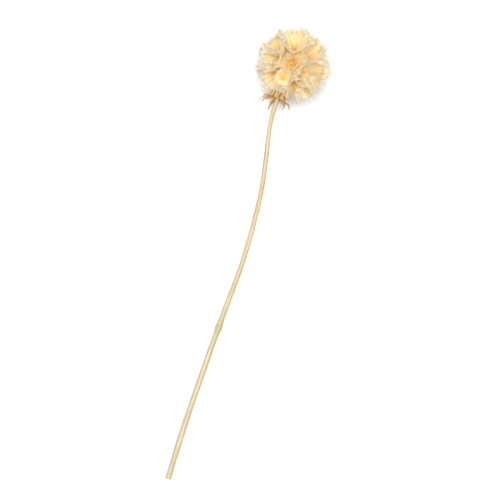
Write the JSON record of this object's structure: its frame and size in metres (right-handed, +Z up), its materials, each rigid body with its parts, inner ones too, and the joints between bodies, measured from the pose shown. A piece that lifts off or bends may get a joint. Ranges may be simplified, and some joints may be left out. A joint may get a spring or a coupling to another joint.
{
  "type": "scabiosa stem",
  "caption": "Dried and bleached starflower scabiosa: a globe of fringed paper cups with stars inside, on one slender bent stem, laid on its side.",
  "frame": {"origin": "centre of the box round the stem, on the surface that it lies on", "axes": "+Y along the stem towards the seed head, +Z up from the surface that it lies on, +X to the right when looking down on it with the head away"},
  "size_m": [0.0931, 0.2516, 0.044],
  "materials": {
    "stem": "matte",
    "bract": "matte",
    "corona": "matte"
  },
  "bodies": {
    "root": {"stem": "stem", "involucre": "bract", "seed_head": "corona"}
  },
  "joints": []
}
